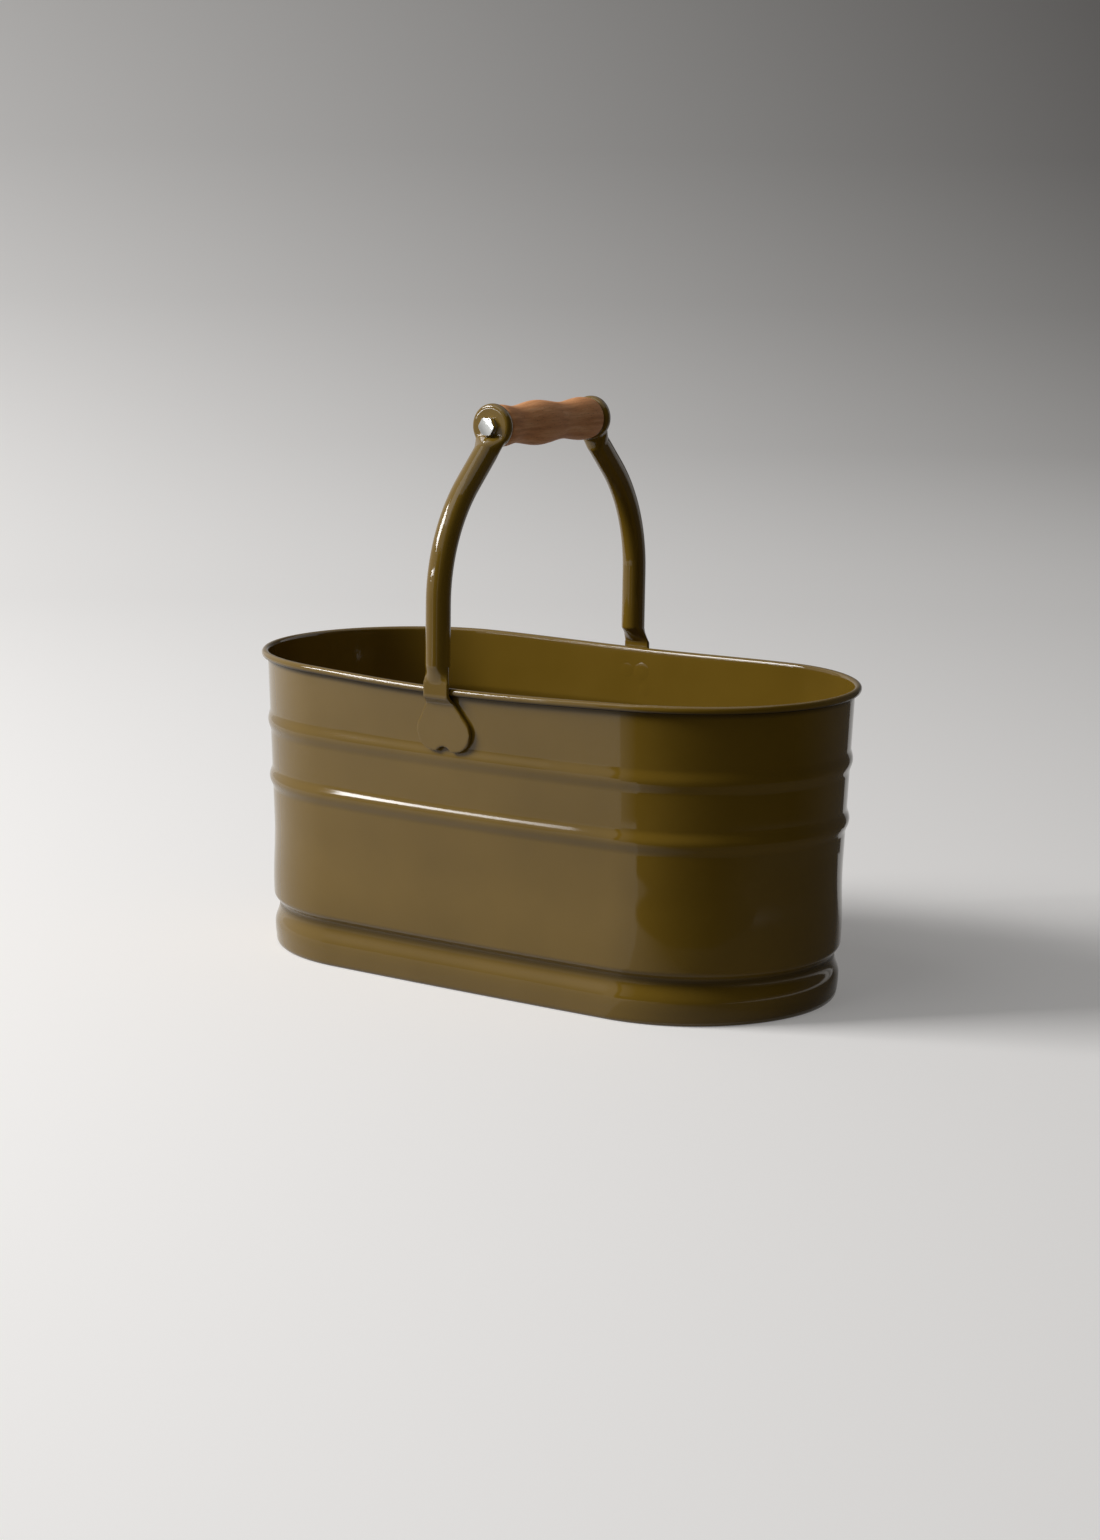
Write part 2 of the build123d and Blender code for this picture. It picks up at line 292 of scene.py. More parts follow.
@dataclass(frozen=True)
class CloudedMetal:
    """Bare metal whose sheen is faintly clouded, between a bright and a dull roughness."""

    name: str
    colour: str
    cloud_mm: float
    detail: float
    bright: float
    dull: float

    def material(self) -> Material:
        """Build the metal's node material.

        Returns:
            The finished material.
        """
        material, tree, place = shader_tree(self.name)
        cloud = noise(tree, place, self.cloud_mm, self.detail)
        inputs = {
            "Base Color": linear(self.colour),
            "Metallic": 1.0,
            "Roughness": spread(tree, cloud, self.bright, self.dull),
        }
        return surfaced(material, "ShaderNodeBsdfPrincipled", inputs)


@dataclass(frozen=True)
class DrawnWire(CloudedMetal):
    """Drawn steel wire, unpainted. To the eye: dull silver with fine marks."""

    name: str = "drawn_steel_wire"
    colour: str = "#B9B8B4"
    cloud_mm: float = 0.6
    detail: float = 2.0
    bright: float = 0.25
    dull: float = 0.5


@dataclass(frozen=True)
class BrightZinc(CloudedMetal):
    """Zinc plate, electroplated. To the eye: a bright grey that mirrors the room."""

    name: str = "bright_zinc_plate"
    colour: str = "#DADCDA"
    cloud_mm: float = 2.5
    detail: float = 4.0
    bright: float = 0.05
    dull: float = 0.1


@dataclass(frozen=True)
class TurnedBeech:
    """Oiled beech, turned on a lathe.

    To the eye: warm pinkish brown with long fine grain and the short dark flecks of beech. The
    real pores are about 0.1 mm wide; they are drawn 0.5 mm wide so that they show.
    """

    pale: str = "#EEB684"
    warm: str = "#DB9A66"
    deep: str = "#BC7E50"
    fleck: str = "#8C5735"
    roughness: float = 0.6
    ior: float = 1.3
    ring_mm: float = 3.2
    ring_roughness: float = 0.6
    ring_range: Triple = (0.3, 0.5, 0.7)
    pore_mm: float = 0.5
    pore_range: tuple[float, float] = (0.5, 0.72)
    pore_share: float = 0.55
    pore_strength: float = 0.35
    pore_depth_mm: float = 0.06
    grain_stretch: float = 0.045
    fleck_mm: float = 1.1
    fleck_range: tuple[float, float] = (0.12, 0.2)
    fleck_share: float = 0.6
    fleck_stretch: float = 0.28

    def material(self, axis_place: Vector) -> Material:
        """Build the wood's node material round the grip's axis.

        Args:
            axis_place: A point on the grip's axis, which runs along Y.

        Returns:
            The finished material.
        """
        material, tree, place = shader_tree("oiled_turned_beech")
        stretch = {"Vector": place, "Scale": (1.0, self.grain_stretch, 1.0)}
        stretch["Location"] = tuple(-c for c in axis_place)
        along = add_node(tree, "ShaderNodeMapping", stretch).outputs["Vector"]
        rings = noise(tree, along, self.ring_mm, detail=4.0, roughness=self.ring_roughness)
        wood = ramp(tree, rings, self.ring_range, (self.deep, self.warm, self.pale))
        pores = spread(tree, noise(tree, along, self.pore_mm), 0.0, self.pore_share, *self.pore_range)
        squeeze = {"Vector": place, "Scale": (1.0, self.fleck_stretch, 1.0)}
        short = add_node(tree, "ShaderNodeMapping", squeeze).outputs["Vector"]
        cells = {"Vector": short, "Scale": 1 / (self.fleck_mm * MM)}
        distance = add_node(tree, "ShaderNodeTexVoronoi", cells).outputs["Distance"]
        flecks = spread(tree, distance, self.fleck_share, 0.0, *self.fleck_range)
        with_pores = mixed(tree, pores, wood, linear(self.deep))
        inputs = {
            "Base Color": mixed(tree, flecks, with_pores, linear(self.fleck)),
            "Roughness": self.roughness,
            "IOR": self.ior,
            "Normal": bumped(tree, pores, self.pore_strength, -self.pore_depth_mm),
        }
        return surfaced(material, "ShaderNodeBsdfPrincipled", inputs)


@dataclass(frozen=True)
class NaturalNylon:
    """Natural nylon, moulded: milky and faintly see-through at its edges."""

    colour: str = "#DDE0E0"
    cloud_mm: float = 1.5
    bright: float = 0.35
    dull: float = 0.5
    ior: float = 1.53
    milk: float = 0.2
    milk_depth_mm: float = 0.6

    def material(self) -> Material:
        """Build the nylon's node material.

        Returns:
            The finished material.
        """
        material, tree, place = shader_tree("natural_moulded_nylon")
        inputs = {
            "Base Color": linear(self.colour),
            "Roughness": spread(tree, noise(tree, place, self.cloud_mm), self.bright, self.dull),
            "IOR": self.ior,
            "Subsurface Weight": self.milk,
            "Subsurface Scale": self.milk_depth_mm * MM,
        }
        return surfaced(material, "ShaderNodeBsdfPrincipled", inputs)


@dataclass(frozen=True)
class StudioPaper:
    """Seamless studio paper: matte and pale, with painted shade that makes it darker to the right and where
    it rises at the back.

    The eye and the gloss see it pale, with its shadows lifted by a faint painted glow of its own. What
    it throws back on the object is duller, as from a small sheet in a dark room. The heights are in metres.
    """

    heights: tuple[float, ...] = (0.0, 0.13, 0.32, 0.55, 0.8)
    left: tuple[str, ...] = ("#F3F1EF", "#E8E6E4", "#D1CFCD", "#BEBCBA", "#B5B3B1")
    right: tuple[str, ...] = ("#CECCCA", "#A6A4A2", "#8C8A88", "#777573", "#706E6C")
    thrown_back: str = "#A2A09E"
    shadow_lifting_glow: float = 0.25
    half_reach: float = 0.92

    def material(self, across: tuple[float, float]) -> Material:
        """Build the paper's node material.

        Args:
            across: The direction on the floor in which the paper falls darker.

        Returns:
            The finished material.
        """
        material, tree, place = shader_tree("seamless_studio_paper")
        height = add_node(tree, "ShaderNodeSeparateXYZ", {"Vector": place}).outputs["Z"]
        dot = {0: place, 1: (*across, 0.0)}
        side = add_node(tree, "ShaderNodeVectorMath", dot, operation="DOT_PRODUCT").outputs["Value"]
        share = spread(tree, side, 0.0, 1.0, -self.half_reach, self.half_reach)
        # Painted shade: the colour darkens with height and to the right, as the window's light falls off.
        left, right = (ramp(tree, height, self.heights, shades) for shades in (self.left, self.right))
        colour = mixed(tree, share, left, right)
        lit = add_node(tree, "ShaderNodeBsdfDiffuse", {"Color": colour})
        # A painted glow of the paper's own colour that lifts its shadows.
        glow = add_node(tree, "ShaderNodeEmission", {"Color": colour, "Strength": self.shadow_lifting_glow})
        pale = add_node(tree, "ShaderNodeAddShader", {0: lit.outputs[0], 1: glow.outputs[0]})
        dull = add_node(tree, "ShaderNodeBsdfDiffuse", {"Color": linear(self.thrown_back)})
        both = {0: seen_ray(tree), 1: dull.outputs[0], 2: pale.outputs[0]}
        return surfaced(material, "ShaderNodeMixShader", both)


@dataclass(frozen=True)
class Finishes:
    """The materials, made once."""

    paint: Material
    wire: Material
    beech: Material
    zinc: Material
    nylon: Material
    paper: Material


def link_object(name: str, data: bpy.types.ID) -> Piece:
    """Put a mesh, a lamp or a camera in the scene as an object at the origin.

    Args:
        name: The object's name.
        data: What it shows.

    Returns:
        The new object.
    """
    obj = bpy.data.objects.new(name, data)
    bpy.context.scene.collection.objects.link(obj)
    return obj


def link_mesh(name: str, mesh: Mesh, material: Material) -> Piece:
    """Name a mesh, give it its finish and put it in the scene.

    Args:
        name: The piece's name.
        mesh: Its mesh, in the CAD frame.
        material: Its finish.

    Returns:
        The new object.
    """
    mesh.materials.clear()
    mesh.materials.append(material)
    mesh.name = name
    return link_object(name, mesh)


def raw_mesh(name: str, points: Sequence, edges: Sequence = (), faces: Sequence = ()) -> Mesh:
    """Make a mesh from bare lists.

    Args:
        name: The mesh's name.
        points: Vertices in metres.
        edges: Vertex numbers of each loose edge.
        faces: Vertex numbers of each face.

    Returns:
        The new mesh.
    """
    mesh = bpy.data.meshes.new(name)
    mesh.from_pydata([tuple(p) for p in points], list(edges), list(faces))
    return mesh


def smooth_faces(mesh: Mesh) -> None:
    """Shade all of a mesh's faces smooth."""
    mesh.polygons.foreach_set("use_smooth", [True] * len(mesh.polygons))


def ring_mesh(rows: list[np.ndarray], name: str) -> Mesh:
    """Skin a row of rings, the last of which joins the first, with faces that point outwards.

    Args:
        rows: Rings with the same number of points, in millimetres.
        name: The mesh's name.

    Returns:
        The new smooth-shaded mesh.
    """
    columns = len(rows[0])
    faces = []
    for row in range(len(rows)):
        below = row * columns
        above = (row + 1) % len(rows) * columns
        for column in range(columns):
            beside = (column + 1) % columns
            faces.append((below + column, below + beside, above + beside, above + column))
    mesh = raw_mesh(name, np.concatenate(rows) * MM, faces=faces)
    shell = bmesh.new()
    shell.from_mesh(mesh)
    if shell.calc_volume(signed=True) < 0:
        bmesh.ops.reverse_faces(shell, faces=shell.faces)
    shell.to_mesh(mesh)
    shell.free()
    smooth_faces(mesh)
    mesh.update()
    return mesh


def bake_tree(obj: Piece, tree: Tree, values: dict[str, float]) -> Mesh:
    """Run a Geometry Nodes tree on an object and keep the result as a plain mesh.

    Args:
        obj: The object that carries the tree's input geometry. It is removed.
        tree: The node tree.
        values: Its inputs by name.

    Returns:
        The made mesh.
    """
    modifier = obj.modifiers.new(tree.name, "NODES")
    modifier.node_group = tree
    sockets = (i for i in tree.interface.items_tree if i.item_type == "SOCKET" and i.in_out == "INPUT")
    keys = {socket.name: socket.identifier for socket in sockets}
    for name, value in values.items():
        modifier[keys[name]] = value
    graph = bpy.context.evaluated_depsgraph_get()
    mesh = bpy.data.meshes.new_from_object(obj.evaluated_get(graph))
    obj.modifiers.clear()
    bpy.data.objects.remove(obj)
    return mesh


def new_geometry_tree(name: str, inputs: dict[str, float | int]) -> tuple[Tree, Node]:
    """Start a Geometry Nodes tree with named inputs.

    Args:
        name: The tree's name.
        inputs: The value of each input after the geometry, by name.

    Returns:
        The tree and its input node.
    """
    tree = bpy.data.node_groups.new(name, "GeometryNodeTree")
    tree.interface.new_socket("Geometry", in_out="INPUT", socket_type="NodeSocketGeometry")
    for label, value in inputs.items():
        kind = "NodeSocketInt" if isinstance(value, int) else "NodeSocketFloat"
        tree.interface.new_socket(label, in_out="INPUT", socket_type=kind).default_value = value
    tree.interface.new_socket("Geometry", in_out="OUTPUT", socket_type="NodeSocketGeometry")
    return tree, add_node(tree, "NodeGroupInput")


def end_geometry_tree(tree: Tree, shape: Socket, material: Material) -> None:
    """Close a tree with smooth shading, Realize Instances and Set Material.

    Args:
        tree: The tree.
        shape: The socket that carries the made shape.
        material: The finish.
    """
    smooth = add_node(tree, "GeometryNodeSetShadeSmooth", {"Geometry": shape})
    real = add_node(tree, "GeometryNodeRealizeInstances", {"Geometry": smooth.outputs[0]})
    inputs = {"Geometry": real.outputs[0], "Material": material}
    dressed = add_node(tree, "GeometryNodeSetMaterial", inputs)
    add_node(tree, "NodeGroupOutput", {0: dressed.outputs[0]})


def swept(tree: Tree, line: Socket, section: Node) -> Socket:
    """Sweep the curve that a section node makes along a line, with closed ends."""
    inputs = {"Curve": line, "Profile Curve": section.outputs["Curve"], "Fill Caps": True}
    return add_node(tree, "GeometryNodeCurveToMesh", inputs).outputs["Mesh"]


def merged_shell(node: str) -> Shell:
    """Copy a CAD node's mesh with its loose triangles joined.

    Args:
        node: The CAD node.

    Returns:
        The joined copy.
    """
    shell = bmesh.new()
    shell.from_mesh(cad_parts[node].data)
    bmesh.ops.remove_doubles(shell, verts=shell.verts, dist=MERGE_MM * MM)
    return shell


def poured(shell: Shell, name: str) -> Mesh:
    """Turn an edited copy into a mesh.

    Args:
        shell: The copy. It is freed.
        name: The mesh's name.

    Returns:
        The new mesh.
    """
    mesh = bpy.data.meshes.new(name)
    shell.to_mesh(mesh)
    shell.free()
    return mesh


def plain(obj: Piece) -> None:
    """Apply an object's modifiers, so that it has one plain mesh.

    Args:
        obj: The object.
    """
    graph = bpy.context.evaluated_depsgraph_get()
    mesh = bpy.data.meshes.new_from_object(obj.evaluated_get(graph))
    name = obj.data.name
    obj.modifiers.clear()
    obj.data = mesh
    mesh.name = name


def dressed_copy(
    node: str, name: str, bevel_mm: float, material: Material, sharp_degrees: float = 32.0
) -> Piece:
    """Copy a CAD node's mesh, merge its triangles and round its edges.

    Args:
        node: The CAD node.
        name: The new piece's name.
        bevel_mm: How far its edges are rounded back.
        material: Its finish.
        sharp_degrees: Edges that turn by more are rounded.

    Returns:
        The new piece, with its bevel applied.
    """
    shell = merged_shell(node)
    angle = math.radians(FLAT_DEGREES)
    bmesh.ops.dissolve_limit(shell, angle_limit=angle, verts=shell.verts, edges=shell.edges)
    mesh = poured(shell, name)
    smooth_faces(mesh)
    obj = link_mesh(name, mesh, material)
    bevel = obj.modifiers.new("edge rounding", "BEVEL")
    bevel.width = bevel_mm * MM
    bevel.segments = BEVEL_STEPS
    bevel.limit_method = "ANGLE"
    bevel.angle_limit = math.radians(sharp_degrees)
    bevel.harden_normals = True
    plain(obj)
    return obj


def settle(obj: Piece, body: Body, slot: Slot, *nodes: str) -> None:
    """Ride a piece on its body, hide the CAD nodes that it stands for and log it.

    Args:
        obj: The piece.
        body: The CAD body that carries it.
        slot: A material slot; it is not used.
        nodes: CAD nodes that it replaces.
    """
    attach(obj, body.value)
    if nodes:
        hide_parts(*nodes)
    log.info("%s: %d faces on %s", obj.name, len(obj.data.polygons), body.value)


@dataclass(frozen=True)
class Oval:
    """A level oval of two end arcs and two slack side arcs, in millimetres."""

    half_length: float
    half_width: float
    side_bow: float
    end_steps: int = 80
    side_steps: int = 56

    def rings(self) -> tuple[np.ndarray, np.ndarray]:
        """Lay points round the oval.

        Returns:
            The points and their outward normals, one row each.
        """
        radius = self.half_width - self.side_bow
        centre = self.half_length - radius
        drop = (centre**2 - self.side_bow**2) / (2 * self.side_bow)
        meet = math.atan2(drop, centre)
        side_radius = self.half_width + drop
        arcs = [
            ((centre, 0.0), radius, -meet, meet, self.end_steps),
            ((0.0, -drop), side_radius, meet, math.pi - meet, self.side_steps),
            ((-centre, 0.0), radius, math.pi - meet, math.pi + meet, self.end_steps),
            ((0.0, drop), side_radius, math.pi + meet, 2 * math.pi - meet, self.side_steps),
        ]
        points, normals = [], []
        for middle, size, start, end, steps in arcs:
            turn = start + (end - start) * np.arange(steps) / steps
            normal = np.stack([np.cos(turn), np.sin(turn)], 1)
            points.append(np.array(middle) + size * normal)
            normals.append(normal)
        return np.concatenate(points), np.concatenate(normals)


@dataclass
class Tub:
    """The tub: its pressed wall with rolled rim and hem, the wire in the rim and the base.

    All lengths are in millimetres. A press is a middle height, the half heights over and under
    it, and how far it moves the wall out. Row bands are the heights from and to which the mesh
    has rows, and their step. Weld places are along the tub from the lug's middle, and up.
    """

    finishes: Finishes
    foot: Oval = field(default_factory=lambda: Oval(189.3, 91.0, 0.8))
    top: Oval = field(default_factory=lambda: Oval(196.2, 103.7, 6.2))
    sheet: float = 0.8
    bead_height: float = 185.7
    bead_radius: float = 2.3
    wire_radius: float = 1.4
    wire_sides: int = 14
    hem_width: float = 5.0
    rim_dip: float = 2.4
    dip_half: float = 150.0
    dip_foot: float = 151.0
    ribs: tuple[Press, ...] = ((143.3, 7.5, 7.5, 1.5), (107.3, 7.5, 7.5, 1.9))
    groove: Press = (26.0, 6.5, 13.0, -3.1)
    swell: Press = (36.0, 44.0, 44.0, 2.0)
    skirt: Press = (8.0, 16.0, 8.0, 1.4)
    skirt_crispness: int = 8
    row_bands: tuple[Triple, ...] = (
        (0.4, 38.0, 0.7),
        (38.0, 98.0, 3.5),
        (98.0, 116.5, 0.65),
        (116.5, 134.0, 3.5),
        (134.0, 152.5, 0.65),
        (152.5, 185.0, 2.5),
    )
    curl_steps: int = 20
    curl_end_outside: float = -118.6
    curl_end_inside: float = -137.2
    # How far the painted shade reaches under the rim and in the groove, how it fades at the bead, and its
    # strength in the groove.
    painted_shade_reach: float = 3.0
    painted_shade_edge: float = 0.1
    groove_painted_shade: float = 0.55
    base_edge: float = 0.35
    base_sharp_degrees: float = 20.0
    lug_place: float = -6.4
    weld_places: Pairs = ((-9.0, 158.5), (9.0, 158.5), (-6.0, 170.0), (6.0, 170.0))
    weld_radius: float = 7.0
    weld_flatness: float = 0.057
    weld_sink: float = 0.33
    weld_steps: tuple[int, int] = (20, 10)

    def press(self, height: float) -> float:
        """How far the ribs, groove, swell and skirt move the wall out.

        Args:
            height: Height over the floor in millimetres.

        Returns:
            The offset in millimetres.
        """
        offset = 0.0
        for press in (*self.ribs, self.groove, self.swell, self.skirt):
            middle, upper_half, lower_half, out = press
            share = (height - middle) / (upper_half if height > middle else lower_half)
            if press == self.skirt and height < middle:
                offset += out * (1 - min(-share, 1.0) ** self.skirt_crispness)
            elif abs(share) < 1:
                offset += out * math.cos(share * math.pi / 2) ** 2
        return offset

    def level(self, height: float) -> Oval:
        """The wall's plain oval at a height.

        Args:
            height: Height over the floor in millimetres.

        Returns:
            The oval of the unpressed outside.
        """
        share = height / self.bead_height
        feet, tops = ((oval.half_length, oval.half_width, oval.side_bow) for oval in (self.foot, self.top))
        return Oval(*(foot + (top - foot) * share for foot, top in zip(feet, tops)))

    def section(self) -> list[Triple]:
        """The sheet's closed section, from the hem up the outside and back down the inside.

        Returns:
            Base height, outward offset and height of each point, in millimetres.
        """
        heights = np.concatenate([np.arange(start, end, step) for start, end, step in self.row_bands])
        set_in = self.bead_radius - self.sheet
        inner_edge = -self.sheet - self.hem_width
        curl = []
        for radius, end in ((set_in, self.curl_end_inside), (self.bead_radius, self.curl_end_outside)):
            turns = np.radians(np.linspace(180, end, self.curl_steps))
            offsets = [(set_in + radius * math.cos(t), radius * math.sin(t)) for t in turns]
            curl.append([(self.bead_height, out, self.bead_height + up) for out, up in offsets])
        outside = [(0.0, out, 0.0) for out in (inner_edge, inner_edge / 2, -self.sheet / 2)]
        outside += [(h, self.press(h), h) for h in heights]
        inside = [(h, self.press(h) - self.sheet, h) for h in heights[::-1] if h > 2 * self.sheet]
        inside += [(self.sheet, self.press(self.sheet) - self.sheet, self.sheet)]
        inside += [(0.0, inner_edge / 2, self.sheet), (0.0, inner_edge, self.sheet)]
        return outside + curl[0] + curl[1][::-1] + inside

    def painted_shade_share(self, out: float, height: float) -> float:
        """How much painted shade a point gets, under the rim or in the groove above the foot.

        Args:
            out: Its offset from the plain wall in millimetres.
            height: Its height in millimetres.

        Returns:
            0 outside both and 1 where the painted shade is darkest, deep under the rim.
        """
        bead_foot = self.bead_height - self.bead_radius
        if out < self.press(height) - self.sheet / 2 or height > self.bead_height:
            return 0.0
        if height < bead_foot - self.painted_shade_reach:
            away = (height - self.groove[0]) / self.painted_shade_reach
            return self.groove_painted_shade * math.exp(-(away**2))
        if height < bead_foot + self.sheet:
            return float(np.clip((height - bead_foot + self.painted_shade_reach) / self.painted_shade_reach, 0, 1)) ** 2
        return float(np.clip((self.bead_height - height) / self.bead_radius - self.painted_shade_edge, 0, 1))

    def dip(self, x: np.ndarray, height: np.ndarray) -> np.ndarray:
        """How far the long sides of the rim sag between the ends.

        Args:
            x: Places along the tub in millimetres.
            height: Heights in millimetres.

        Returns:
            The drop in millimetres.
        """
        along = np.cos(np.clip(np.abs(x) / self.dip_half, 0, 1) * math.pi / 2) ** 2
        up = np.clip((height - self.dip_foot) / (self.bead_height - self.bead_radius - self.dip_foot), 0, 1)
        return self.rim_dip * along * up * up * (3 - 2 * up)

    def ring(self, base: float, out: float, height: float) -> np.ndarray:
        """Lay one level ring of points round the wall, sagging where the rim does.

        Args:
            base: The height whose plain oval it follows, in millimetres.
            out: Its offset from that oval in millimetres.
            height: Its own height in millimetres.

        Returns:
            The points in millimetres.
        """
        points, normals = self.level(base).rings()
        ring = points + normals * out
        return np.column_stack([ring, height - self.dip(ring[:, 0], np.full(len(ring), height))])

    def wall(self) -> None:
        """Build the pressed wall, hem and rolled rim as one sheet."""
        section = self.section()
        rows = [self.ring(base, out, height) for base, out, height in section]
        mesh = ring_mesh(rows, "tub_pressed_wall")
        # Each row's share of painted shade: darker, duller paint under the rim and in the groove.
        shares = [self.painted_shade_share(out, height) for _, out, height in section]
        painted_shade = mesh.attributes.new("painted_shade", "FLOAT", "POINT")
        painted_shade.data.foreach_set("value", np.repeat(shares, len(rows[0])))
        wall = link_mesh("tub_pressed_wall", mesh, self.finishes.paint)
        settle(wall, Body.TUB, Slot.PAINT, "tub_wall")

    def rim_wire(self) -> None:
        """Sweep the stiffening wire along the middle line of the rolled rim."""
        line = self.ring(self.bead_height, self.bead_radius - self.sheet, self.bead_height) * MM
        edges = [(i, (i + 1) % len(line)) for i in range(len(line))]
        carrier = link_object("rim line", raw_mesh("rim line", line, edges))
        values = {"Section Radius": self.wire_radius * MM, "Section Sides": self.wire_sides}
        tree, given = new_geometry_tree("wire along the rim", values)
        curve = add_node(tree, "GeometryNodeMeshToCurve", {"Mesh": given.outputs["Geometry"]})
        sizes = {"Resolution": given.outputs["Section Sides"], "Radius": given.outputs["Section Radius"]}
        section = add_node(tree, "GeometryNodeCurvePrimitiveCircle", sizes)
        end_geometry_tree(tree, swept(tree, curve.outputs["Curve"], section), self.finishes.wire)
        wire = link_mesh("rim_stiffening_wire", bake_tree(carrier, tree, values), self.finishes.wire)
        settle(wire, Body.TUB, Slot.WIRE, "rim_wire")

    def base(self) -> None:
        """Round the edges of the pressed base."""
        name = "pressed_base_panel"
        panel = dressed_copy("base_panel", name, self.base_edge, self.finishes.paint, self.base_sharp_degrees)
        settle(panel, Body.TUB, Slot.PAINT, "base_panel")

    def spot_welds(self) -> None:
        """Set the faint bulges of the spot welds inside the wall, behind each lug."""
        spots, turns = [], []
        lean = math.atan2(self.top.half_width - self.foot.half_width, self.bead_height)
        for side in (-1, 1):
            for x, height in self.weld_places:
                face = self.level(height).half_width - self.sheet + self.weld_sink
                spots.append(((self.lug_place + x) * MM, side * face * MM, height * MM))
                turns += (-side * lean, 0.0, 0.0)
        mesh = raw_mesh("weld places", spots)
        mesh.attributes.new("turn", "FLOAT_VECTOR", "POINT").data.foreach_set("vector", turns)
        carrier = link_object("weld places", mesh)
        values = {"Weld Radius": self.weld_radius * MM, "Weld Flatness": self.weld_flatness}
        tree, given = new_geometry_tree("spot welds on the wall", values)
        segments, rings = self.weld_steps
        sizes = {"Segments": segments, "Rings": rings, "Radius": given.outputs["Weld Radius"]}
        dome = add_node(tree, "GeometryNodeMeshUVSphere", sizes)
        scale = {"X": 1.0, "Y": given.outputs["Weld Flatness"], "Z": 1.0}
        flat = add_node(tree, "ShaderNodeCombineXYZ", scale)
        turn = add_node(tree, "GeometryNodeInputNamedAttribute", {"Name": "turn"}, data_type="FLOAT_VECTOR")
        inputs = {
            "Points": given.outputs["Geometry"],
            "Instance": dome.outputs["Mesh"],
            "Rotation": turn.outputs["Attribute"],
            "Scale": flat.outputs["Vector"],
        }
        placed = add_node(tree, "GeometryNodeInstanceOnPoints", inputs)
        end_geometry_tree(tree, placed.outputs["Instances"], self.finishes.paint)
        welds = link_mesh("spot_weld_marks", bake_tree(carrier, tree, values), self.finishes.paint)
        settle(welds, Body.TUB, Slot.PAINT)

    def build(self) -> None:
        """Build the whole tub."""
        for make in (self.wall, self.rim_wire, self.base, self.spot_welds):
            make()


@dataclass
class Arms:
    """The two flattened tube arms, skinned over their CAD shapes with softened, painted edges."""

    finishes: Finishes
    voxel_mm: float = 0.55
    smooth_steps: int = 7
    smooth_share: float = 0.5

    def skin(self, node: str, name: str) -> None:
        """Melt an arm's CAD facets into one even, rounded skin.

        Args:
            node: The arm's CAD node.
            name: The new piece's name.
        """
        shell = merged_shell(node)
        self.drop_inner_faces(shell)
        arm = link_mesh(name, poured(shell, name), self.finishes.paint)
        remesh = arm.modifiers.new("even skin", "REMESH")
        remesh.mode = "VOXEL"
        remesh.voxel_size = self.voxel_mm * MM * 1
        remesh.use_smooth_shade = True
        smooth = arm.modifiers.new("softened edges", "SMOOTH")
        smooth.factor = self.smooth_share
        smooth.iterations = self.smooth_steps
        plain(arm)
        arm.data.materials.clear()
        arm.data.materials.append(self.finishes.paint)
        smooth_faces(arm.data)
        settle(arm, Body.TUB, Slot.PAINT, node)

    @staticmethod
    def drop_inner_faces(shell: Shell) -> None:
        """Remove every closed shell but the outermost, such as the tube's sealed hollow.

        Args:
            shell: The merged mesh.
        """
        left = set(shell.verts)
        islands = []
        while left:
            island, edge = set(), [left.pop()]
            while edge:
                vertex = edge.pop()
                island.add(vertex)
                for other in (e.other_vert(vertex) for e in vertex.link_edges):
                    if other in left:
                        left.discard(other)
                        edge.append(other)
            islands.append(island)
        tallest = max(islands, key=lambda i: max(v.co.z for v in i) - min(v.co.z for v in i))
        spare = [v for v in shell.verts if v not in tallest]
        bmesh.ops.delete(shell, geom=spare, context="VERTS")

    def build(self) -> None:
        """Build both arms."""
        self.skin("front_arm", "front_tube_arm")
        self.skin("back_arm", "back_tube_arm")


